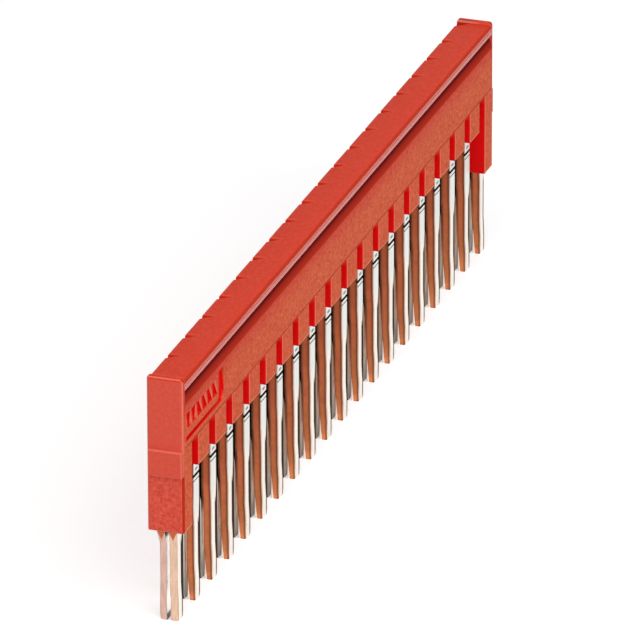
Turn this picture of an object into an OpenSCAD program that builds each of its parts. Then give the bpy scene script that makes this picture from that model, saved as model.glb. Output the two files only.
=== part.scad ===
// Plug-in jumper that links a row of rail terminal blocks.
// X runs along the row, the marked front faces -Y, Z points up and the pin tips are at Z = 0.

/* [Row] */
// Number of contact pins in the row
positions = 20; // [2:1:40]
// Distance from one pin to the next (mm)
pitch = 5.2; // [4.2:0.1:8.2]
// Distance from an end face to the middle of the nearest pin (mm)
end_margin = 1.05; // [1:0.05:2.5]

/* [Housing] */
// Thickness of the moulded housing, front to back (mm)
thickness = 3.95; // [3.6:0.05:5]
// Height from the end rims down to the slots between the teeth (mm)
head_height = 7.7; // [7.4:0.1:12]
// How far the rim at each end stands above the top face (mm)
rim_rise = 0.3; // [0.1:0.05:0.6]
// Thickness of the rim at each end, along the row (mm)
rim_width = 0.6; // [0.3:0.05:0.65]
// Radius of the rims' front corner (mm)
rim_radius = 0.6; // [0.1:0.05:0.8]
// Height of the teeth that cover the pins' roots (mm)
tooth_height = 3.65; // [1.5:0.05:6]
// Width of one tooth along the row (mm)
tooth_width = 3.2; // [2.4:0.1:3.8]
// How far the two end legs reach below the teeth (mm)
leg_height = 5.65; // [2:0.05:9]
// Radius of the top front edge (mm)
front_edge_radius = 0.4; // [0.1:0.05:0.6]
// Radius of the top back edge (mm)
back_edge_radius = 0.4; // [0.1:0.05:0.6]
// Radius of the upright outer edges (mm)
edge_radius = 0.4; // [0.1:0.05:0.6]
// Radius of the top edge at each end (mm)
end_edge_radius = 0.3; // [0.1:0.05:0.5]
// Radius of the upright edges of the teeth (mm)
tooth_edge_radius = 0.2; // [0.05:0.05:0.4]
// Radius of the lower corners of the teeth and legs (mm)
foot_radius = 0.4; // [0.1:0.05:0.6]
// Radius of the teeth's lower corners that face the far end (mm)
far_foot_radius = 0.7; // [0.2:0.05:1]

/* [Lip and groove] */
// Height of the lip along the top front edge (mm)
lip_height = 1.05; // [0.8:0.05:1.3]
// Depth of the fine line along the lip (mm)
lip_line_depth = 0.1; // [0.04:0.02:0.16]
// Depth of the prying groove below the lip (mm)
groove_depth = 0.7; // [0.2:0.05:0.8]
// Height of the prying groove, down to where it runs out (mm)
groove_height = 1.6; // [1:0.1:1.9]
// Wall left at each end of the groove (mm)
end_wall = 0.5; // [0.3:0.05:1]
// Depth of the fine seam line above the teeth (mm)
seam_depth = 0.08; // [0.04:0.01:0.15]

/* [Marking field] */
// Length of the marking field (mm)
field_length = 11.5; // [4:0.5:30]
// Height of the marking field (mm)
field_height = 3.6; // [2.2:0.1:3.8]
// Depth of the sunk bars and line in the marking field (mm)
field_depth = 0.3; // [0.1:0.05:0.5]
// Width of the sunk line below the bars (mm)
stroke = 0.6; // [0.3:0.05:0.8]
// Width of the sunk block at the line's far end (mm)
block_width = 1.7; // [0.8:0.1:2.4]
// Width of the plain slanted bars in the field (mm)
bar_width = 1.25; // [0.4:0.05:1.6]

/* [Top notches] */
// Depth of the notch above each pin, at the back edge (mm)
notch_depth = 0.5; // [0.3:0.02:0.8]
// Depth of the notch at its inner end (mm)
notch_shallow = 0.06; // [0.02:0.01:0.25]
// Length of the notch's ramp along the row (mm)
notch_length = 1.5; // [0.8:0.05:2.4]
// How far the notch reaches in from the back edge (mm)
notch_reach = 1.45; // [0.8:0.05:2]

/* [End bands] */
// How far the bands stand out from the end faces (mm)
band_rise = 0.4; // [0.1:0.05:0.8]
// Height of the bands (mm)
band_height = 2.7; // [1:0.1:3.2]

/* [Contact comb] */
// Thickness of the folded sheet (mm)
sheet = 0.85; // [0.6:0.05:0.9]
// Gap between the two leaves at their roots (mm)
root_gap = 0.46; // [0.36:0.02:0.7]
// Width of a leaf at its root, along the row (mm)
root_width = 1.6; // [1.4:0.05:1.8]
// Width of a leaf at its contact end, along the row (mm)
leaf_width = 1.2; // [1:0.05:1.3]
// How far the pins reach below the end legs (mm)
pin_reach = 9.85; // [8:0.05:14]
// Thickness of the back leaf, coined below its root (mm)
back_sheet = 0.72; // [0.55:0.01:0.85]
// How far the back leaf bends in below its root (mm)
back_bend = 0.3; // [0.1:0.01:0.36]
// How far the front leaf flares out near its tip (mm)
front_flare = 0.09; // [0:0.01:0.2]
// How far the back leaf flares out near its tip (mm)
back_flare = 0.05; // [0:0.01:0.2]
// Depth of the score across each front leaf (mm)
score_depth = 0.16; // [0.05:0.01:0.25]
// Play between the comb and its seat in the housing (mm)
seat_play = 0.03; // [0.02:0.01:0.06]

/* [Hidden] */
$fn = 48;

// How far cuts and outlines run past the faces they meet
over = 1;
corner_over = 0.1;

// Heights, from the pin tips up
leg_low = pin_reach;
tooth_low = leg_low + leg_height;
slot_top = tooth_low + tooth_height;
top = slot_top + head_height;
deck = top - rim_rise;
lip_low = deck - lip_height;

// Lengths along the row
row_length = (positions - 1) * pitch + 2 * end_margin;
first_pin = -(positions - 1) * pitch / 2;
end_block = end_margin + tooth_width / 2;
slot_width = pitch - tooth_width;
front = -thickness / 2;
back = thickness / 2;

// Marking field at the near end of the wall: a row of slanted bars over a line that ends in a block
field_inset = 0.3;
field_rise = 0.6;
field_start = -row_length / 2 + end_wall + field_inset;
field_room = min(field_length, row_length - 2 * (end_wall + field_inset));
field_low = slot_top + field_rise;
field_top = field_low + field_height;
field_corner = 0.9;
bar_gap = 0.3;
bar_lean = 0.5;
bar_rise = 0.7;
bar_low = field_low + stroke + bar_rise;
bar_share = 0.76;
bar_high = bar_low + bar_share * (field_top - bar_low);
bar_step = bar_width + bar_gap;
bar_count = max(0, floor((field_room - block_width - bar_gap) / bar_step));

// Fine line along the upper part of the lip's upright face
lip_line_height = 0.12;
lip_line_drop = 0.57;
lip_line_z = deck - max(lip_line_drop, front_edge_radius + lip_line_height);

// Seam line above the teeth
seam_rise = 0.1;
seam_height = 0.12;

// Step of each notch, past the middle of its pin, and the notch's least distance from a rim
notch_lead = 0.35;
notch_clear = 0.1;

// Rebate on the front outer corner below each band
rebate_x = 0.3;
rebate_y = 0.22;

// Bands set in from the front and back of the end faces, and down from the slots' upper ends
band_front = 0.1;
band_back = 0.25;
band_drop = 0.25;
band_low = slot_top - band_drop - band_height;

// Folded section of the comb
fold_out = root_gap / 2 + sheet;
fold_in = root_gap / 2;
fold_cover = 2.8;
fold_z = deck - fold_cover - fold_out;
spine_rise = 0.5;
spine_low = slot_top + spine_rise;
bend_run = 1.3;
kink_z = 4;
flare_low = 2.2;
tip_radius = 0.3;
score_drop = 1.8;
score_z = tooth_low - score_drop;
score_height = 0.32;
mark_depth = 0.06;
mark_height = 0.1;
mark_drop = 0.45;
mark_z = score_z - mark_drop;
neck_rise = 0.8;
neck_high = leg_low + neck_rise;
neck_drop = 1.2;
neck_low = leg_low - neck_drop;
tip_taper = 0.8;
tip_inset = 0.12;

function pin_x(i) = first_pin + i * pitch;

// Points of the fold in the Y-Z plane, from the front over the top to the back
function fold_arc(r) = [for (a = [180 : -15 : 0]) [r * cos(a), fold_z + r * sin(a)]];
function mirrored(points) = [for (q = points) [-q[0], q[1]]];

// Waste outside a rounded corner whose material lies towards +X and +Y
module corner(r) {
    difference() {
        translate([-corner_over, -corner_over]) square(r + corner_over);
        translate([r, r]) circle(r);
    }
}

// Draws a Y-Z section and runs it along the row
module along_row(length) {
    rotate([90, 0, 90]) linear_extrude(length, center = true) children();
}

// Draws an X-Z outline and runs it from front to back
module across_row(depth) {
    rotate([90, 0, 0]) linear_extrude(depth, center = true) children();
}

// Y-Z section of the housing between two heights
module side_section(low, high, front_radius) {
    difference() {
        translate([front, low]) square([thickness, high - low]);
        translate([front, high]) rotate(270) corner(front_radius);
        translate([back, high]) rotate(180) corner(back_edge_radius);
        translate([front, low]) corner(foot_radius);
        translate([back, low]) rotate(90) corner(foot_radius);
    }
}

// X-Z outline of the head with its row of teeth
module head_outline() {
    difference() {
        translate([-row_length / 2 - over, tooth_low - over])
            square([row_length + 2 * over, top - tooth_low + 2 * over]);
        for (i = [0 : positions - 2]) {
            x = pin_x(i) + pitch / 2;
            translate([x - slot_width / 2, tooth_low - 2 * over]) square([slot_width, tooth_height + 2 * over]);
            translate([x - slot_width / 2, tooth_low]) rotate(90) corner(far_foot_radius);
            translate([x + slot_width / 2, tooth_low]) corner(foot_radius);
        }
    }
}

// X-Z outline of the rim at each end
module rim_outline() {
    for (s = [0, 1]) mirror([s, 0]) difference() {
        translate([-row_length / 2, slot_top]) square([rim_width, top - slot_top + over]);
        translate([-row_length / 2, top]) rotate(270) corner(end_edge_radius);
    }
}

// X-Z outline of the two end legs
module leg_outline() {
    for (s = [0, 1]) mirror([s, 0]) difference() {
        translate([-row_length / 2, leg_low]) square([end_block, leg_height + over]);
        translate([-row_length / 2, leg_low]) corner(edge_radius);
        translate([-row_length / 2 + end_block, leg_low]) rotate(90) corner(foot_radius);
    }
}

// Plan of the housing with rounded upright edges
module plan() {
    difference() {
        square([row_length, thickness], center = true);
        for (a = [0, 180]) rotate(a) {
            translate([-row_length / 2, front]) corner(edge_radius);
            translate([row_length / 2, front]) rotate(90) corner(edge_radius);
        }
    }
}

// Head, end rims, teeth and legs before anything is cut
module blank() {
    intersection() {
        along_row(row_length + 2 * over) side_section(tooth_low, deck, front_edge_radius);
        across_row(thickness + 2 * over) head_outline();
        translate([0, 0, tooth_low - over]) linear_extrude(top - tooth_low + 2 * over) plan();
    }
    intersection() {
        along_row(row_length + 2 * over) side_section(tooth_low, top, rim_radius);
        across_row(thickness + 2 * over) rim_outline();
        translate([0, 0, tooth_low - over]) linear_extrude(top - tooth_low + 2 * over) plan();
    }
    intersection() {
        along_row(row_length + 2 * over) side_section(leg_low, deck, front_edge_radius);
        across_row(thickness + 2 * over) leg_outline();
        translate([0, 0, leg_low - over]) linear_extrude(leg_height + 3 * over) plan();
    }
}

// Raised band on each end face
module end_bands() {
    for (s = [0, 1]) mirror([s, 0, 0]) translate([0, 0, band_low]) linear_extrude(band_height) difference() {
        translate([-row_length / 2 - band_rise, front + band_front])
            square([band_rise + over, thickness - band_front - band_back]);
        translate([-row_length / 2 - band_rise, front + band_front]) corner(band_rise / 2);
        translate([-row_length / 2 - band_rise, back - band_back]) rotate(270) corner(band_rise / 2);
    }
}

// Rounds the upright edges of the teeth and the inner ones of the legs
module tooth_edges() {
    for (i = [0 : positions - 1]) {
        low = (i == 0 || i == positions - 1 ? leg_low : tooth_low) - over;
        sides = i == 0 ? [1] : i == positions - 1 ? [0] : [0, 1];
        for (side = sides)
            translate([pin_x(i) + (side - 0.5) * tooth_width, 0, low]) linear_extrude(slot_top - low) {
                translate([0, front]) rotate(90 * side) corner(tooth_edge_radius);
                translate([0, back]) rotate(270 - 90 * side) corner(tooth_edge_radius);
            }
    }
}

// Prying groove below the lip, deep at the lip and rolling out to the wall below
module groove() {
    roll = (groove_height * groove_height + groove_depth * groove_depth) / (2 * groove_depth);
    along_row(row_length - 2 * end_wall) difference() {
        translate([front - over, lip_low - groove_height]) square([over + groove_depth, groove_height]);
        translate([front + roll, lip_low - groove_height]) circle(roll, $fn = 180);
    }
}

// Fine line along the lip
module lip_line() {
    translate([0, front, lip_line_z])
        cube([row_length - 2 * end_wall, 2 * lip_line_depth, lip_line_height], center = true);
}

// Marking field: slanted bars over a line that ends in a block
module marking_field() {
    field_end = field_start + field_room;
    translate([0, front, 0]) across_row(2 * field_depth) {
        difference() {
            translate([field_start, field_low]) square([field_room, field_height]);
            translate([field_end, field_low]) rotate(90) corner(field_corner);
            difference() {
                translate([field_start - over, field_low + stroke])
                    square([field_room + over - block_width, field_height]);
                translate([field_end - block_width, field_low + stroke]) rotate(90) corner(field_corner - stroke);
            }
        }
        for (i = [0 : 1 : bar_count - 1]) translate([field_start + bar_lean + i * bar_step, bar_low]) polygon([
            [0, 0],
            [bar_width, 0],
            [bar_width - bar_lean, bar_high - bar_low],
            [-bar_lean, bar_high - bar_low]
        ]);
    }
}

// Fine seam line along the front, just above the slots
module seam() {
    translate([0, front, slot_top + seam_rise])
        cube([row_length - 2 * end_wall, 2 * seam_depth, seam_height], center = true);
}

// Ramped notch in the back top edge above each pin
module notches() {
    tilt = atan((notch_depth - notch_shallow) / notch_reach);
    for (i = [0 : positions - 1]) {
        step_x = pin_x(i) + notch_lead;
        run = min(notch_length, step_x + row_length / 2 - rim_width - notch_clear);
        translate([step_x, back, deck]) rotate([-tilt, 0, 0]) translate([0, (over - notch_reach) / 2, 0])
            across_row(notch_reach + over) polygon([
                [-run, 0],
                [0, -notch_depth],
                [0, over],
                [-run, over]
            ]);
    }
}

// Rebate on the front outer corner below each band
module leg_rebates() {
    for (s = [0, 1]) mirror([s, 0, 0])
        translate([-row_length / 2 - over, front - over, leg_low - over])
            cube([over + rebate_x, over + rebate_y, over + band_low - leg_low]);
}

// Seat of the comb: its folded root with a little play, open at the foot of every tooth and leg
module comb_seat() {
    p = seat_play;
    intersection() {
        along_row(row_length) polygon(concat(
            [[-fold_out - p, leg_low - over]],
            fold_arc(fold_out + p),
            [[fold_out + p, leg_low - over], [fold_in - p, leg_low - over]],
            mirrored(fold_arc(fold_in - p)),
            [[-fold_in + p, leg_low - over]]
        ));
        across_row(thickness) {
            translate([first_pin - root_width / 2 - p, spine_low - p])
                square([(positions - 1) * pitch + root_width + 2 * p, top - spine_low]);
            for (i = [0 : positions - 1])
                translate([pin_x(i) - root_width / 2 - p, leg_low - 2 * over])
                    square([root_width + 2 * p, top - leg_low]);
        }
    }
}

// Moulded housing
module housing() {
    color([0.78, 0.13, 0.09]) difference() {
        union() {
            blank();
            end_bands();
        }
        tooth_edges();
        groove();
        lip_line();
        marking_field();
        seam();
        notches();
        leg_rebates();
        comb_seat();
    }
}

// Y-Z section of the comb: a sheet folded over the spine into a front and a back leaf
module comb_section() {
    back_out = fold_out - back_bend;
    back_in = back_out - back_sheet;
    difference() {
        polygon(concat(
            [
                [-fold_out - front_flare, 0],
                [-fold_out - front_flare, flare_low],
                [-fold_out, kink_z]
            ],
            fold_arc(fold_out),
            [
                [fold_out, leg_low],
                [back_out, leg_low - bend_run],
                [back_out, kink_z],
                [back_out + back_flare, flare_low],
                [back_out + back_flare, 0],
                [back_in + back_flare, 0],
                [back_in + back_flare, flare_low],
                [back_in, kink_z],
                [back_in, leg_low - bend_run],
                [fold_in, leg_low]
            ],
            mirrored(fold_arc(fold_in)),
            [
                [-fold_in, kink_z],
                [-fold_in - front_flare, flare_low],
                [-fold_in - front_flare, 0]
            ]
        ));
        translate([-fold_out - front_flare, 0]) corner(tip_radius);
        translate([back_out + back_flare, 0]) rotate(90) corner(tip_radius);
        translate([-fold_out - over, score_z]) square([over + score_depth, score_height]);
        translate([-fold_out - over, mark_z]) square([over + mark_depth, mark_height]);
    }
}

// X-Z outline of the comb: the spine and its row of tapered pins
module comb_outline() {
    root = root_width / 2;
    leaf = leaf_width / 2;
    translate([first_pin - root, spine_low]) square([(positions - 1) * pitch + root_width, top - spine_low]);
    for (i = [0 : positions - 1]) translate([pin_x(i), 0]) polygon([
        [-root, spine_low + over],
        [-root, neck_high],
        [-leaf, neck_low],
        [-leaf, tip_taper],
        [-leaf + tip_inset, 0],
        [leaf - tip_inset, 0],
        [leaf, tip_taper],
        [leaf, neck_low],
        [root, neck_high],
        [root, spine_low + over]
    ]);
}

// Folded contact comb
module contact_comb() {
    color([0.82, 0.8, 0.77]) intersection() {
        along_row(row_length) comb_section();
        across_row(thickness) comb_outline();
    }
}

housing();
contact_comb();
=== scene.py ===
"""Looks of a plug-in jumper for rail terminal blocks: red moulded housing over a plated copper comb."""

import math

import bpy
from mathutils import Matrix, Vector


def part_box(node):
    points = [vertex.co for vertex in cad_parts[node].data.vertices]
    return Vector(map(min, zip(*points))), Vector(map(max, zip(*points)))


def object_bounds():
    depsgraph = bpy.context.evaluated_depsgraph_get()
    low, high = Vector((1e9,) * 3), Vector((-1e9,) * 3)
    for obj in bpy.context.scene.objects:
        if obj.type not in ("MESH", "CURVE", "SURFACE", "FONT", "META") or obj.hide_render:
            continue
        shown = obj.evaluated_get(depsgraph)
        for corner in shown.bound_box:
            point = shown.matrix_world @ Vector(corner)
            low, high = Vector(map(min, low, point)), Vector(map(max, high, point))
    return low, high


MM = 0.001

# Camera of the photograph, fitted to the housing's outline
VIEW_AZIMUTH = 18.74
VIEW_ELEVATION = 23.555
VIEW_ROLL = -0.149
VIEW_DISTANCE = 1073.1 * MM
VIEW_ANGLE = 3.5414
AIM_RIGHT = -0.674 * MM
AIM_UP = -13.364 * MM

# Light: white surroundings and a broad lamp high up on the near side
SKY_STRENGTH = 0.3
FLOOR_COLOUR = (0.86, 0.86, 0.86)
FLOOR_GLOW = 0.42
FLOOR_SIZE = 3.0
KEY_POWER = 9.0
KEY_SIZE = 1.2
KEY_PLACE = Vector((-0.55, -0.40, 0.72))

# Heights and depths of the housing's forms, as in the part's source
DECK = 26.55 * MM
LIP_LOW = 25.5 * MM
GROOVE_LOW = 23.9 * MM
SLOT_TOP = 19.15 * MM
BAND_LOW = 16.2 * MM
LEG_LOW = 9.85 * MM
REBATE_X = 0.3 * MM
REBATE_Y = 0.22 * MM
BAND_RISE = 0.4 * MM

# Pins of the comb, as in the part's source
PITCH = 5.2 * MM
ROOT_WIDTH = 1.6 * MM
NECK_HIGH = 10.65 * MM
NECK_LOW = 8.65 * MM
SHEET_FRONT = -1.08 * MM
KINK = 4.0 * MM
FLARE_LOW = 2.2 * MM
FRONT_FLARE = 0.09 * MM

# Places on the pins that are coloured apart: scored lines, dash above them, leaves and their gap
SCORE_LOW = 13.0 * MM
SCORE_HIGH = 14.2 * MM
DASH = 14.48 * MM
LEAF_MIDDLE = 0.62 * MM
LEAF_GAP = (-0.2 * MM, 0.0)

# Colours of the red plastic
RED_TOP = (0.78, 0.049, 0.016)
# Painted shade on the top's rounded front edge
RED_TURN_SHADE = (0.53, 0.024, 0.002)
RED_END = (0.74, 0.085, 0.050)
RED_LIP = (0.72, 0.058, 0.018)
RED_WALL = (0.72, 0.098, 0.012)
RED_WALL_HIGH = (0.68, 0.043, 0.004)
# Painted shade of the groove under the lip, the seam and the rebates
RED_GROOVE_SHADE = (0.60, 0.041, 0.016)
RED_UNDERCUT_SHADE = (0.37, 0.025, 0.018)
RED_LIP_SHADOW = (0.10, 0.003, 0.003)
RED_DEEP = (0.82, 0.004, 0.005)
# Painted light at the tops of the slots
RED_SLOT_TOP_LIGHT = (0.94, 0.062, 0.034)
# Painted highlight along edges, on up-facing end faces and on the far rim
RED_HIGHLIGHT = (0.88, 0.30, 0.22)
# Painted highlight of the notch steps, and the far rim's lit red
RED_LINE = (0.95, 0.13, 0.072)
# Painted highlight along the rounded feet of the teeth
RED_FOOT_HIGHLIGHT = (1.0, 0.33, 0.20)
RED_HAZE = (0.149, 0.061, 0.042)

# Colours of the metal
PLATE = (0.76, 0.77, 0.73)
PLATE_WARM = (0.90, 0.83, 0.74)
# Painted light: plating of the first pins, lit with no neighbour in front
PLATE_BRIGHT = (0.92, 0.92, 0.90)
PLATE_GREY = (0.15, 0.17, 0.155)
PLATE_SHADE = (0.05, 0.032, 0.022)
FOLD_TIP = (0.42, 0.39, 0.33)
FOLD_LOW = (0.94, 0.81, 0.69)
# Painted brown shade inside the fold
FOLD_BROWN_SHADE = (0.80, 0.37, 0.19)
COPPER_HIGH = (0.70, 0.178, 0.075)
COPPER_LOW = (0.72, 0.245, 0.098)
# Copper of the end pins, painted lighter as lit
COPPER_FRONT = (0.72, 0.49, 0.36)
COPPER_BACK = (0.63, 0.41, 0.34)
# Painted shade and reflection of the red leg on the end pins' edges
COPPER_RED_SHADE = (0.52, 0.13, 0.05)
# Painted shade of the back leaves' edges, and painted light on their inner rim
COPPER_GREY_SHADE = (0.25, 0.20, 0.16)
COPPER_RIM_LIGHT = (0.62, 0.47, 0.37)
# Dark of the metal: random marks and scored lines, and painted shade
METAL_MARKS_AND_SHADE = (0.010, 0.008, 0.007)

# The range in which most of a noise lies
GRAIN_LOW = 0.3
GRAIN_HIGH = 0.7

# Width of the painted highlight along the housing's edges
EDGE_WIDTH = 0.14 * MM

# How far a face's normal reaches along an axis, if it points mostly or fully that way
MOSTLY = 0.5
FULLY = 0.9

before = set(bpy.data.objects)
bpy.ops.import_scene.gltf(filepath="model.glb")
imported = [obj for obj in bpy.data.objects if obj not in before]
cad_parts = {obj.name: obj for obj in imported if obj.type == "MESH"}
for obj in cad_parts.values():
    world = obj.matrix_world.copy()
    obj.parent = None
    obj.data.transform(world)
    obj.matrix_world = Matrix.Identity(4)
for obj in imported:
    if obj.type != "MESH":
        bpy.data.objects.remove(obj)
cad_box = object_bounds()


class Shader:
    """A material's node tree with short calls for the nodes used here."""

    def __init__(self, name, colour):
        self.material = bpy.data.materials.new(name)
        self.material.use_nodes = True
        self.material.diffuse_color = (*colour, 1)
        self.tree = self.material.node_tree
        self.surface = self.tree.nodes["Principled BSDF"]
        self.surface.inputs["Base Color"].default_value = (*colour, 1)
        self.place = self.add("ShaderNodeTexCoord").outputs["Object"]

    def add(self, kind, **settings):
        node = self.tree.nodes.new(kind)
        for key, value in settings.items():
            setattr(node, key, value)
        return node

    def feed(self, value, socket):
        """Links a node's output to a socket, or sets the socket to a constant."""
        is_colour = isinstance(value, tuple) and len(value) == 3
        if isinstance(value, bpy.types.NodeSocket):
            self.tree.links.new(value, socket)
        else:
            socket.default_value = (*value, 1) if is_colour else value

    def set(self, **values):
        """Sets the surface's inputs by their names, with _ for a space."""
        for key, value in values.items():
            self.feed(value, self.surface.inputs[key.replace("_", " ")])

    def parts(self, vector):
        """The parts of a vector, by the name of the axis."""
        node = self.add("ShaderNodeSeparateXYZ")
        self.feed(vector, node.inputs[0])
        return node.outputs

    def along(self, axis):
        """The place along one axis, in metres."""
        return self.parts(self.place)[axis]

    def normal(self):
        """The direction that a face points to."""
        return self.add("ShaderNodeNewGeometry").outputs["Normal"]

    def facing(self, axis):
        """How far a face points along one axis, from -1 to 1."""
        return self.parts(self.normal())[axis]

    def stretched(self, x, y, z):
        """The place times a factor for each axis: a grain gets longer where the factor is small."""
        node = self.add("ShaderNodeVectorMath", operation="MULTIPLY")
        self.feed(self.place, node.inputs[0])
        node.inputs[1].default_value = (x, y, z)
        return node.outputs["Vector"]

    def noise(self, scale, rough=0.5, detail=3, place=None):
        """A grain, with the scale in spots per metre."""
        node = self.add("ShaderNodeTexNoise")
        node.inputs["Scale"].default_value = scale
        node.inputs["Detail"].default_value = detail
        node.inputs["Roughness"].default_value = rough
        self.feed(place or self.place, node.inputs["Vector"])
        return node.outputs["Fac"]

    def span(self, value, start, end, low=0.0, high=1.0):
        """A value between start and end mapped to a number between low and high."""
        node = self.add("ShaderNodeMapRange")
        for key, number in (("From Min", start), ("From Max", end), ("To Min", low), ("To Max", high)):
            node.inputs[key].default_value = number
        self.feed(value, node.inputs["Value"])
        return node.outputs["Result"]

    def band(self, value, start, full, fade, end):
        """1 where a value lies between full and fade, falling to 0 at start and end."""
        return self.times(self.span(value, start, full), self.span(value, end, fade))

    def graded(self, grain, low=0.0, high=1.0):
        """A grain mapped to a number between low and high."""
        return self.span(grain, GRAIN_LOW, GRAIN_HIGH, low, high)

    def patchy(self, low, high):
        """A number between low and high that differs a little from spot to spot."""
        return self.graded(self.noise(2200), low, high)

    def math(self, operation, *values):
        node = self.add("ShaderNodeMath", operation=operation)
        for value, socket in zip(values, node.inputs):
            self.feed(value, socket)
        return node.outputs[0]

    def plus(self, a, b):
        return self.math("ADD", a, b)

    def minus(self, a, b):
        return self.math("SUBTRACT", a, b)

    def times(self, a, b):
        return self.math("MULTIPLY", a, b)

    def size(self, value):
        """A value without its sign."""
        return self.math("ABSOLUTE", value)

    def blend(self, share, a, b):
        """Colour a where share is 0, colour b where it is 1."""
        node = self.add("ShaderNodeMix", data_type="RGBA")
        self.feed(share, node.inputs[0])
        self.feed(a, node.inputs[6])
        self.feed(b, node.inputs[7])
        return node.outputs[2]

    def edges(self, radius):
        """1 along edges, falling to 0 within the radius."""
        bevel = self.add("ShaderNodeBevel", samples=8)
        bevel.inputs["Radius"].default_value = radius
        dot = self.add("ShaderNodeVectorMath", operation="DOT_PRODUCT")
        self.feed(bevel.outputs["Normal"], dot.inputs[0])
        self.feed(self.normal(), dot.inputs[1])
        edge, flat = 0.75, 0.995
        return self.span(dot.outputs["Value"], edge, flat, 1.0, 0.0)

    def roundings(self):
        """1 on the rounded end edges and upright edges, 0 on flat faces."""
        unsigned = self.add("ShaderNodeVectorMath", operation="ABSOLUTE")
        self.feed(self.normal(), unsigned.inputs[0])
        parts = self.parts(unsigned.outputs["Vector"])
        turned = self.times(parts["X"], self.plus(parts["Y"], parts["Z"]))
        almost_halfway, halfway = 0.4, 0.5
        return self.span(turned, almost_halfway, halfway)

    def lit_edges(self, colour, share, radius=EDGE_WIDTH):
        """A red with a painted highlight along its sharp and rounded edges."""
        either = self.math("MAXIMUM", self.edges(radius), self.roundings())
        return self.blend(self.times(either, share), colour, RED_HIGHLIGHT)

    def bump(self, height, depth):
        """A normal that follows a grain as relief of the given depth."""
        node = self.add("ShaderNodeBump")
        node.inputs["Strength"].default_value = 1.0
        node.inputs["Distance"].default_value = depth
        self.feed(height, node.inputs["Height"])
        return node.outputs["Normal"]


def tint(colour, share):
    return tuple(c * share for c in colour)


def grained(s, colour, grain, amount):
    """A colour that a grain makes a little darker and lighter."""
    return s.blend(s.graded(grain), tint(colour, 1 - amount), tint(colour, 1 + amount))


def hazed(s, colour, grain, amount):
    """A red on which a grain of the mould leaves darker and whiter spots."""
    dark = tuple(max(c - amount * h, 0.0) for c, h in zip(colour, RED_HAZE))
    light = tuple(c + amount * h for c, h in zip(colour, RED_HAZE))
    return s.blend(s.graded(grain), dark, light)


def mould_haze(s):
    """Soft grain of the housing's smoother faces."""
    return s.noise(2400, rough=0.6)


def plain_finish(s, colour, gloss, rough):
    """Finishes a surface without relief, whose roughness varies between two numbers."""
    s.set(
        Base_Color=colour,
        Roughness=s.patchy(*rough),
        Specular_IOR_Level=gloss,
    )
    return s.material


def smooth_finish(s, base, edge, gloss, rough):
    """Finishes smooth moulded polyamide: painted highlight along the edges, faintly rippled."""
    uneven = 0.05
    s.set(
        Base_Color=s.lit_edges(base, edge),
        Roughness=s.patchy(rough - uneven, rough + uneven),
        Specular_IOR_Level=gloss,
        Normal=s.bump(s.noise(7000, rough=0.6, detail=2), 0.003 * MM),
    )
    return s.material


def sheared_finish(s, colour, marks):
    """Finishes bare copper that the cut has left with fine marks."""
    s.set(
        Base_Color=colour,
        Metallic=1.0,
        Roughness=s.graded(marks, 0.36, 0.52),
        Normal=s.bump(marks, 0.006 * MM),
    )
    return s.material


def red_top():
    """Top and back: painted lighter towards the front, painted shade where the front edge turns down to
    the lip, and a painted highlight along the edges.
    """
    s = Shader("red_top", RED_TOP)
    haze = mould_haze(s)
    # Painted light, growing towards the front
    back, front = (hazed(s, tint(RED_TOP, share), haze, amount=0.2) for share in (0.94, 1.04))
    forward = s.span(s.along("Y"), 1.5 * MM, -1.5 * MM)
    # Painted shade on the rounding where the front edge turns down
    turned = s.span(s.facing("Y"), -0.35, -0.6, 0.0, 0.8)
    base = s.blend(turned, s.blend(forward, back, front), RED_TURN_SHADE)
    return smooth_finish(s, base, edge=0.6, gloss=0.06, rough=0.42)


def red_lip():
    """Front face of the lip: glossy, with a faint haze and a painted highlight along the edges."""
    s = Shader("red_lip", RED_LIP)
    base = hazed(s, RED_LIP, mould_haze(s), amount=0.2)
    return smooth_finish(s, base, edge=0.5, gloss=0.68, rough=0.25)


def red_end():
    """End faces: hazy red, speckled below the band, with a painted highlight along the edges and on
    faces that point up.
    """
    s = Shader("red_end", RED_END)
    speckle = s.noise(3000, rough=0.7)
    below = s.span(s.along("Z"), BAND_LOW, BAND_LOW - 0.3 * MM)
    hazy = hazed(s, RED_END, mould_haze(s), amount=0.18)
    base = s.blend(below, hazy, hazed(s, RED_END, speckle, amount=0.7))
    # Painted highlight on faces that point up
    upward = s.span(s.facing("Z"), 0.5, 0.8, 0.0, 0.55)
    base = s.blend(upward, base, RED_HIGHLIGHT)
    s.set(
        Base_Color=s.lit_edges(base, share=0.45),
        Roughness=s.graded(speckle, 0.42, 0.54),
        Specular_IOR_Level=0.2,
        Normal=s.bump(s.times(speckle, below), 0.012 * MM),
    )
    return s.material


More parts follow.
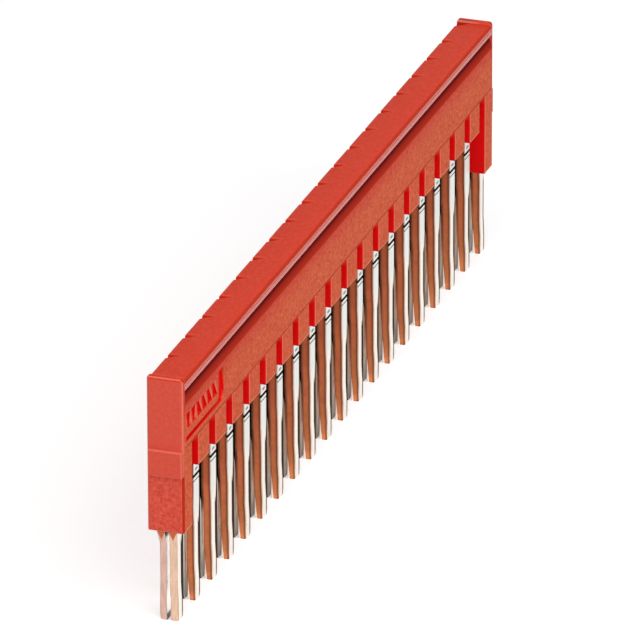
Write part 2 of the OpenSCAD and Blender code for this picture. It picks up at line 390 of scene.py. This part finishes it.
def red_wall():
    """Eroded mould finish of the front: coarse matt grain, paler towards the teeth, painted shade
    running on from the groove, and a painted highlight along the teeth's rounded feet and the edges.
    """
    haze_high, groove_fade = 22.0 * MM, 0.5 * MM
    s = Shader("red_wall", RED_WALL)
    grain = s.noise(3200, rough=0.7)
    height = s.along("Z")
    low = hazed(s, RED_WALL, grain, amount=0.85)
    high = hazed(s, RED_WALL_HIGH, grain, amount=0.5)
    base = s.blend(s.span(height, haze_high, GROOVE_LOW), low, high)
    # Painted shade running down from the groove
    below_groove = s.span(height, GROOVE_LOW - groove_fade, GROOVE_LOW, 0.0, 0.45)
    base = s.blend(below_groove, base, RED_GROOVE_SHADE)
    # Painted highlight along the rounded feet of the teeth
    foot = s.times(s.band(s.facing("Z"), -0.95, -0.75, -0.2, -0.03), 0.9)
    base = s.blend(foot, base, RED_FOOT_HIGHLIGHT)
    s.set(
        Base_Color=s.lit_edges(base, share=0.55, radius=0.12 * MM),
        Roughness=s.graded(grain, 0.64, 0.52),
        Specular_IOR_Level=0.15,
        Normal=s.bump(grain, 0.014 * MM),
    )
    return s.material


def red_groove_shade():
    """Prying groove, seam and rebates in painted shade: a nearly black painted shadow under the lip, a
    dark red further down.
    """
    s = Shader("red_groove_shade", RED_GROOVE_SHADE)
    height = s.along("Z")
    # Painted shadow under the lip, fading into a painted darker red lower down
    dark_low, dark_high = LIP_LOW - 0.85 * MM, LIP_LOW - 0.45 * MM
    colour = s.blend(s.span(height, GROOVE_LOW, dark_low), RED_GROOVE_SHADE, RED_UNDERCUT_SHADE)
    colour = s.blend(s.span(height, dark_low, dark_high), colour, RED_LIP_SHADOW)
    return plain_finish(s, colour, gloss=0.0, rough=(0.5, 0.6))


def red_notch():
    """Steps of the top notches: a painted highlight along the upper edge, painted shade below it."""
    s = Shader("red_notch", RED_TOP)
    # Painted highlight at the top of each step over painted shade
    light = s.span(s.along("Z"), DECK - 0.25 * MM, DECK - 0.05 * MM)
    colour = s.blend(light, tint(RED_TOP, 0.82), RED_LINE)
    return plain_finish(s, colour, gloss=0.1, rough=(0.4, 0.5))


def red_rim():
    """Inner step of the far rim: a painted highlight over a painted dark foot, both running out towards
    the front.
    """
    s = Shader("red_rim", RED_TOP)
    # Painted highlight over painted shade at the foot
    light = s.band(s.along("Z"), *(DECK + rise * MM for rise in (-0.06, 0.02, 0.15, 0.25)))
    step = s.blend(light, tint(RED_TOP, 0.62), RED_HIGHLIGHT)
    back = s.span(s.along("Y"), -0.9 * MM, 0.3 * MM)
    colour = s.blend(back, tint(RED_LINE, 0.86), step)
    return plain_finish(s, colour, gloss=0.1, rough=(0.4, 0.5))


def red_deep():
    """Saturated red of the slots and the sunk marking; in the slots it is painted as the plastic in
    shade, where no sheen shows, with painted light at the slots' tops.
    """
    s = Shader("red_deep", RED_DEEP)
    # Painted light at the tops of the slots
    high = s.band(s.along("Z"), *(SLOT_TOP + rise * MM for rise in (-1.0, -0.2, 0.1, 0.2)))
    base = grained(s, RED_DEEP, s.noise(600), amount=0.05)
    s.set(
        Base_Color=s.blend(high, base, RED_SLOT_TOP_LIGHT),
        Roughness=s.patchy(0.45, 0.55),
        Specular_IOR_Level=0.06,
        Normal=s.bump(s.noise(5000, detail=2), 0.002 * MM),
    )
    return s.material


def across_pin(s):
    """The place across each pin, in metres from its middle."""
    first_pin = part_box("contact_comb")[0].x + ROOT_WIDTH / 2
    return s.math("WRAP", s.minus(s.along("X"), first_pin), PITCH / 2, -PITCH / 2)


def far_pins(s):
    """0 on the pins at the near end, painted as lit, 1 from the fifth pin on, painted as shaded by
    their neighbours.
    """
    near_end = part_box("contact_comb")[0].x
    lit_until, shaded = near_end + 2.2 * PITCH, near_end + 3.6 * PITCH
    return s.span(s.along("X"), lit_until, shaded)


def edge_shadow(s):
    """1 along a dark line of painted shade that runs down one edge of every leaf, from the neck to the
    tip.
    """
    fade, shadow_side = 0.4 * MM, (0.29 * MM, 0.37 * MM)
    below_neck = s.span(s.along("Z"), NECK_LOW + fade, NECK_LOW - fade)
    return s.times(below_neck, s.span(across_pin(s), *shadow_side))


def tin_plate():
    """Plated rolled face: faint lines along the pins, painted shade along the edges and down one edge
    of each leaf, a grey dash over the scored lines.
    """
    dash_side, dash_edge = (0.45 * MM, 0.3 * MM), (0.2 * MM, 0.1 * MM)
    s = Shader("tin_plate", PLATE)
    lines = s.noise(900, rough=0.6, place=s.stretched(3.0, 3.0, 0.12))
    height = s.along("Z")
    root = grained(s, PLATE, lines, amount=0.1)
    leaf = grained(s, PLATE_WARM, lines, amount=0.08)
    colour = s.blend(s.span(height, NECK_HIGH, NECK_LOW), root, leaf)
    # Painted shade along the edges
    edge_shade = s.times(s.edges(0.08 * MM), 0.8)
    colour = s.blend(edge_shade, colour, METAL_MARKS_AND_SHADE)
    # Painted shade without gloss along one edge of each leaf
    shadow_line = edge_shadow(s)
    colour = s.blend(shadow_line, colour, PLATE_SHADE)
    dash = s.times(
        s.span(s.size(across_pin(s)), *dash_side),
        s.span(s.size(s.minus(height, DASH)), *dash_edge),
    )
    front = s.span(s.along("Y"), 0.0, -0.1 * MM)
    colour = s.blend(s.times(dash, front), colour, PLATE_GREY)
    s.set(
        Base_Color=colour,
        Metallic=s.span(shadow_line, 0.0, 1.0, 1.0, 0.0),
        Specular_IOR_Level=0.0,
        Roughness=s.graded(lines, 0.26, 0.42),
        Normal=s.bump(lines, 0.003 * MM),
    )
    return s.material


def fold_inside():
    """Inside of the fold: bright at the tips, with painted brown shade further up and a painted dark
    shadow at the root.
    """
    root_low, root_high, root_end = 7.2 * MM, 8.2 * MM, 9.7 * MM
    brown_shade_high, brown_shade_reach, painted_shade_edge = 6.7 * MM, 0.7 * MM, (0.5 * MM, 0.1 * MM)
    least_brown_shade, brown_shade_side = 0.2, (-0.35 * MM, 0.0)
    tip_zone = 1.5 * MM, 4.5 * MM
    tip_line_side, tip_line_zone = (-0.1 * MM, 0.05 * MM), (3.2 * MM, 2.2 * MM)
    curl_side, curl_zone = (0.25 * MM, 0.35 * MM), (2.8 * MM, 1.8 * MM)
    shadow_reach, shadow_edge = 0.35 * MM, (-0.15 * MM, 0.1 * MM)

    s = Shader("fold_inside", FOLD_LOW)
    streaks = s.noise(1200, rough=0.6, place=s.stretched(2.0, 2.0, 0.4))
    height, across = s.along("Z"), across_pin(s)

    # The painted brown shade reaches further across with height, and less on the first pins
    below_root = s.span(height, root_high, root_low)
    far = s.span(far_pins(s), 0.0, 1.0, least_brown_shade, 1.0)
    shaded = s.times(far, s.span(height, FLARE_LOW, brown_shade_high, 0.0, brown_shade_reach))
    bright = s.times(below_root, s.span(s.plus(across, shaded), *painted_shade_edge))
    brown_shade = s.blend(s.span(across, *brown_shade_side), tint(FOLD_BROWN_SHADE, 0.6), FOLD_BROWN_SHADE)

    # Plating with dark streaks, and at the tip a painted dark line of shade beside a bright curl
    plate = s.blend(s.span(height, *tip_zone), FOLD_TIP, FOLD_LOW)
    plate = s.blend(s.span(streaks, 0.45, 0.75, 0.0, 0.35), plate, METAL_MARKS_AND_SHADE)
    tip_shade_line = s.times(s.span(across, *tip_line_side), s.span(height, *tip_line_zone, 0.0, 0.6))
    plate = s.blend(tip_shade_line, plate, METAL_MARKS_AND_SHADE)
    curl = s.times(s.span(across, *curl_side), s.span(height, *curl_zone))
    plate = s.blend(curl, plate, PLATE_WARM)

    # Shadow at the root, wider with height
    shadow = s.plus(across, s.span(height, root_high, root_end, shadow_reach, 0.0))
    root = s.blend(s.span(shadow, *shadow_edge), METAL_MARKS_AND_SHADE, FOLD_BROWN_SHADE)

    s.set(
        Base_Color=s.blend(below_root, root, s.blend(bright, brown_shade, plate)),
        Metallic=s.times(bright, 0.8),
        Roughness=s.graded(streaks, 0.28, 0.4),
        Specular_IOR_Level=0.0,
    )
    return s.material


def fold_of_first_pin():
    """Inside of the pin at the near end: bright plating painted as lit, with painted shade at the root
    and the tip.
    """
    s = Shader("fold_of_first_pin", PLATE_BRIGHT)
    height = s.along("Z")
    # Painted shade at the root and the tip
    root = s.span(height, LEG_LOW - 0.9 * MM, LEG_LOW - 0.5 * MM)
    tip = s.span(height, 0.9 * MM, 0.6 * MM)
    s.set(
        Base_Color=s.blend(tip, s.blend(root, PLATE_BRIGHT, METAL_MARKS_AND_SHADE), METAL_MARKS_AND_SHADE),
        Metallic=1.0,
        Roughness=s.graded(s.noise(1200), 0.1, 0.22),
    )
    return s.material


def scored_line():
    """Scored lines across the front leaves, black with tarnish."""
    s = Shader("scored_line", METAL_MARKS_AND_SHADE)
    colour = grained(s, METAL_MARKS_AND_SHADE, s.noise(1200), amount=0.4)
    return plain_finish(s, colour, gloss=0.1, rough=(0.55, 0.7))


def copper_edge():
    """Sheared bare edges between the pins: brown on the front leaves, greyed by painted shade on the
    back leaves.
    """
    brown_zone = 1.0 * MM, 11.5 * MM
    line_band = 0.13 * MM, 0.18 * MM, 0.32 * MM, 0.42 * MM
    rim_band = 0.0, 0.03 * MM, 0.12 * MM, 0.16 * MM
    shade_edge, drawn_edge = (0.38 * MM, 0.23 * MM), (0.12 * MM, 0.08 * MM)
    curl_zone, curl_reach = (3.5 * MM, 0.5 * MM), (-0.23 * MM, -0.47 * MM)
    curl_edge, curl_back = (-0.02 * MM, 0.02 * MM), (0.0, -0.1 * MM)

    s = Shader("copper_edge", COPPER_LOW)
    height, depth = s.along("Z"), s.along("Y")
    marks = s.noise(2600, rough=0.6, place=s.stretched(1.0, 0.3, 0.3))
    colour = s.blend(s.span(height, *brown_zone), COPPER_LOW, COPPER_HIGH)
    # Painted shade greys the back leaf's edge
    colour = s.blend(s.span(depth, *LEAF_GAP), colour, COPPER_GREY_SHADE)
    colour = s.blend(s.span(marks, 0.35, 0.75, 0.0, 0.3), colour, METAL_MARKS_AND_SHADE)
    # Painted shade along the edges
    edge_shade = s.times(s.edges(0.3 * MM), 0.75)
    colour = s.blend(edge_shade, colour, METAL_MARKS_AND_SHADE)

    # Painted dark line of shade and painted light along the inner rim of the back leaf
    line = s.times(s.band(depth, *line_band), 0.75)
    colour = s.blend(line, colour, METAL_MARKS_AND_SHADE)
    rim = s.times(s.band(depth, *rim_band), 0.85)
    colour = s.blend(rim, colour, s.blend(far_pins(s), PLATE_BRIGHT, COPPER_RIM_LIGHT))

    # Plating drawn over the front, which flares at the tip, and curled in at the back of the tip
    flare = s.span(height, KINK, FLARE_LOW, 0.0, FRONT_FLARE)
    behind_front = s.plus(s.minus(depth, SHEET_FRONT), flare)
    # Painted shade: a dark line behind the front leaf's front face
    colour = s.blend(s.span(behind_front, *shade_edge, 0.0, 0.5), colour, METAL_MARKS_AND_SHADE)
    drawn_front = s.span(behind_front, *drawn_edge)
    curl_start = s.span(height, *curl_zone, *curl_reach)
    curl = s.times(s.span(s.minus(depth, curl_start), *curl_edge), s.span(depth, *curl_back))
    colour = s.blend(s.math("MAXIMUM", drawn_front, curl), colour, PLATE_WARM)
    return sheared_finish(s, colour, marks)


def copper_outer():
    """Sheared edge of the two end pins, painted brighter as lit with no neighbour, with painted shade
    and reflection of the red leg in points where it leaves the leg.
    """
    point_width, point_height = 0.4 * MM, 0.9 * MM
    painted_shade_edge = LEG_LOW - 0.15 * MM, LEG_LOW + 0.05 * MM
    s = Shader("copper_outer", COPPER_FRONT)
    height, depth = s.along("Z"), s.along("Y")
    marks = s.noise(2600, rough=0.6, place=s.stretched(1.0, 1.0, 0.2))
    leaves = [grained(s, colour, marks, amount=0.18) for colour in (COPPER_FRONT, COPPER_BACK)]
    colour = s.blend(s.span(depth, *LEAF_GAP), *leaves)
    off_middle = s.size(s.minus(s.size(depth), LEAF_MIDDLE))
    reach = s.plus(height, s.span(off_middle, 0.0, point_width, point_height, 0.0))
    # Painted shade and red reflection in points below the leg
    colour = s.blend(s.span(reach, *painted_shade_edge), colour, COPPER_RED_SHADE)
    # Painted shade along the edges, leaving the middle lighter
    edge_shade = s.times(s.edges(0.22 * MM), 0.4)
    colour = s.blend(edge_shade, colour, METAL_MARKS_AND_SHADE)
    return sheared_finish(s, colour, marks)


def dress(node, materials, choose):
    """Gives a CAD node its materials, one chosen by name for each face."""
    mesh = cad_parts[node].data
    mesh.materials.clear()
    names = list(materials)
    for material in materials.values():
        mesh.materials.append(material)
    for face in mesh.polygons:
        face.material_index = names.index(choose(face.normal, face.center))


def dress_housing():
    """Smooth top and back, hazy ends, grained front, and saturated red in the sunk marking and in the
    slots, where it is painted as shaded plastic.
    """
    low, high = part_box("housing")
    ends = low.x + BAND_RISE, high.x - BAND_RISE
    end_reach, end_high = 0.75 * MM, DECK - 1.0 * MM
    seam_high = SLOT_TOP + 0.3 * MM
    notch_low, turn_low = DECK - 0.6 * MM, DECK - 0.35 * MM
    # Depths behind the front: the seam is shallow, rebates and marking are sunk
    shallow, sunk, deepest = 0.02 * MM, 0.1 * MM, 0.4 * MM
    play, fine_play, finest_play = 0.02 * MM, 0.01 * MM, 0.001 * MM

    def choose(n, c):
        inset = min(c.x - ends[0], ends[1] - c.x)
        depth = c.y - low.y
        # Ends and rebates of the legs
        if inset < end_reach and c.z < end_high and abs(n.y) < FULLY or inset < 0:
            cut = 0 < inset <= REBATE_X + fine_play and depth < REBATE_Y and c.z < BAND_LOW
            return "groove" if cut else "end"
        if c.z < BAND_LOW and inset < REBATE_X and sunk < depth < REBATE_Y + fine_play:
            return "groove"
        # Slots, seam above them and sunk marking
        if c.z < SLOT_TOP + play and abs(n.y) < MOSTLY:
            return "deep"
        if shallow < depth < sunk and SLOT_TOP < c.z < seam_high:
            return "groove"
        if sunk < depth < deepest and seam_high < c.z < GROOVE_LOW:
            return "deep"
        # Top with its notches and far rim, then the front from the lip down
        if n.x < -MOSTLY and c.z > notch_low and (inset > end_reach or c.x > 0):
            return "rim" if ends[1] - c.x < PITCH / 2 else "notch"
        if c.y > 0 or n.z > FULLY or c.z > turn_low:
            return "top"
        if c.z > LIP_LOW - play:
            return "lip"
        return "groove" if c.z > GROOVE_LOW + play and depth > finest_play else "wall"

    dress("housing", {
        "top": red_top(),
        "notch": red_notch(),
        "rim": red_rim(),
        "lip": red_lip(),
        "end": red_end(),
        "wall": red_wall(),
        "groove": red_groove_shade(),
        "deep": red_deep(),
    }, choose)


def dress_comb():
    """Plated rolled faces, painted shade inside the fold, and bare copper where the sheet was cut."""
    low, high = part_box("contact_comb")
    pin_reach = 1.1 * ROOT_WIDTH
    scored = SHEET_FRONT + 0.02 * MM
    inside = SHEET_FRONT + 0.25 * MM

    def choose(n, c):
        first, last = c.x < low.x + pin_reach, c.x > high.x - pin_reach
        if abs(n.x) > MOSTLY or n.z < -FULLY and c.z < SCORE_LOW:
            return "outer" if n.x < -MOSTLY and first or n.x > MOSTLY and last else "copper"
        if scored < c.y < inside and SCORE_LOW < c.z < SCORE_HIGH:
            return "score"
        if n.y > MOSTLY and c.y < 0 or n.y < -MOSTLY and c.y > inside:
            return "bright" if first else "fold"
        return "plate"

    dress("contact_comb", {
        "plate": tin_plate(),
        "fold": fold_inside(),
        "bright": fold_of_first_pin(),
        "score": scored_line(),
        "copper": copper_edge(),
        "outer": copper_outer(),
    }, choose)


def seen_directly(tree):
    """1 for rays that show the surroundings themselves: straight, in gloss or through glass."""
    path = tree.nodes.new("ShaderNodeLightPath")
    total = path.outputs["Is Camera Ray"]
    for name in ("Is Glossy Ray", "Is Transmission Ray"):
        node = tree.nodes.new("ShaderNodeMath")
        node.operation = "MAXIMUM"
        tree.links.new(total, node.inputs[0])
        tree.links.new(path.outputs[name], node.inputs[1])
        total = node.outputs[0]
    return total


def make_world():
    """White surroundings, which shed less light than they show."""
    world = bpy.data.worlds.new("studio")
    bpy.context.scene.world = world
    world.use_nodes = True
    tree = world.node_tree
    background = tree.nodes["Background"]
    background.inputs["Color"].default_value = (1, 1, 1, 1)
    strength = tree.nodes.new("ShaderNodeMapRange")
    strength.inputs["To Min"].default_value = SKY_STRENGTH
    strength.inputs["To Max"].default_value = 1.0
    tree.links.new(seen_directly(tree), strength.inputs["Value"])
    tree.links.new(strength.outputs["Result"], background.inputs["Strength"])


def make_floor():
    """Pale floor at the pin tips, which looks white and keeps the soft shadow."""
    half = FLOOR_SIZE / 2
    mesh = bpy.data.meshes.new("floor")
    corners = [(-half, -half, 0), (half, -half, 0), (half, half, 0), (-half, half, 0)]
    mesh.from_pydata(corners, [], [(0, 1, 2, 3)])
    floor = bpy.data.objects.new("floor", mesh)
    bpy.context.scene.collection.objects.link(floor)
    s = Shader("floor_paint", FLOOR_COLOUR)
    s.set(
        Roughness=0.9,
        Emission_Color=(1, 1, 1, 1),
        Emission_Strength=s.times(seen_directly(s.tree), FLOOR_GLOW),
    )
    mesh.materials.append(s.material)


def make_lamp(name, power, size, place, aim):
    """Square lamp that shines at a point."""
    data = bpy.data.lights.new(name, "AREA")
    data.energy = power
    data.size = size
    lamp = bpy.data.objects.new(name, data)
    bpy.context.scene.collection.objects.link(lamp)
    lamp.location = place
    lamp.rotation_euler = (aim - place).to_track_quat("-Z", "Y").to_euler()


def make_camera():
    """Camera at the photograph's viewing angle."""
    azimuth, elevation = math.radians(VIEW_AZIMUTH), math.radians(VIEW_ELEVATION)
    back = Vector((
        -math.cos(azimuth) * math.cos(elevation),
        -math.sin(azimuth) * math.cos(elevation),
        math.sin(elevation),
    ))
    level = Vector((math.sin(azimuth), -math.cos(azimuth), 0))
    roll = Matrix.Rotation(math.radians(VIEW_ROLL), 3, back)
    right, up = roll @ level, roll @ back.cross(level)
    aim = Vector((0, 0, cad_box[1].z)) + right * AIM_RIGHT + up * AIM_UP
    data = bpy.data.cameras.new("camera")
    data.angle = math.radians(VIEW_ANGLE)
    camera = bpy.data.objects.new("camera", data)
    bpy.context.scene.collection.objects.link(camera)
    turn = Matrix((right, up, back)).transposed().to_4x4()
    camera.matrix_world = Matrix.Translation(aim + back * VIEW_DISTANCE) @ turn
    bpy.context.scene.camera = camera


dress_housing()
dress_comb()
make_world()
make_floor()
middle = (cad_box[0] + cad_box[1]) / 2
make_lamp("key", KEY_POWER, KEY_SIZE, middle + KEY_PLACE, middle)
make_camera()
bpy.context.scene.view_settings.view_transform = "Standard"
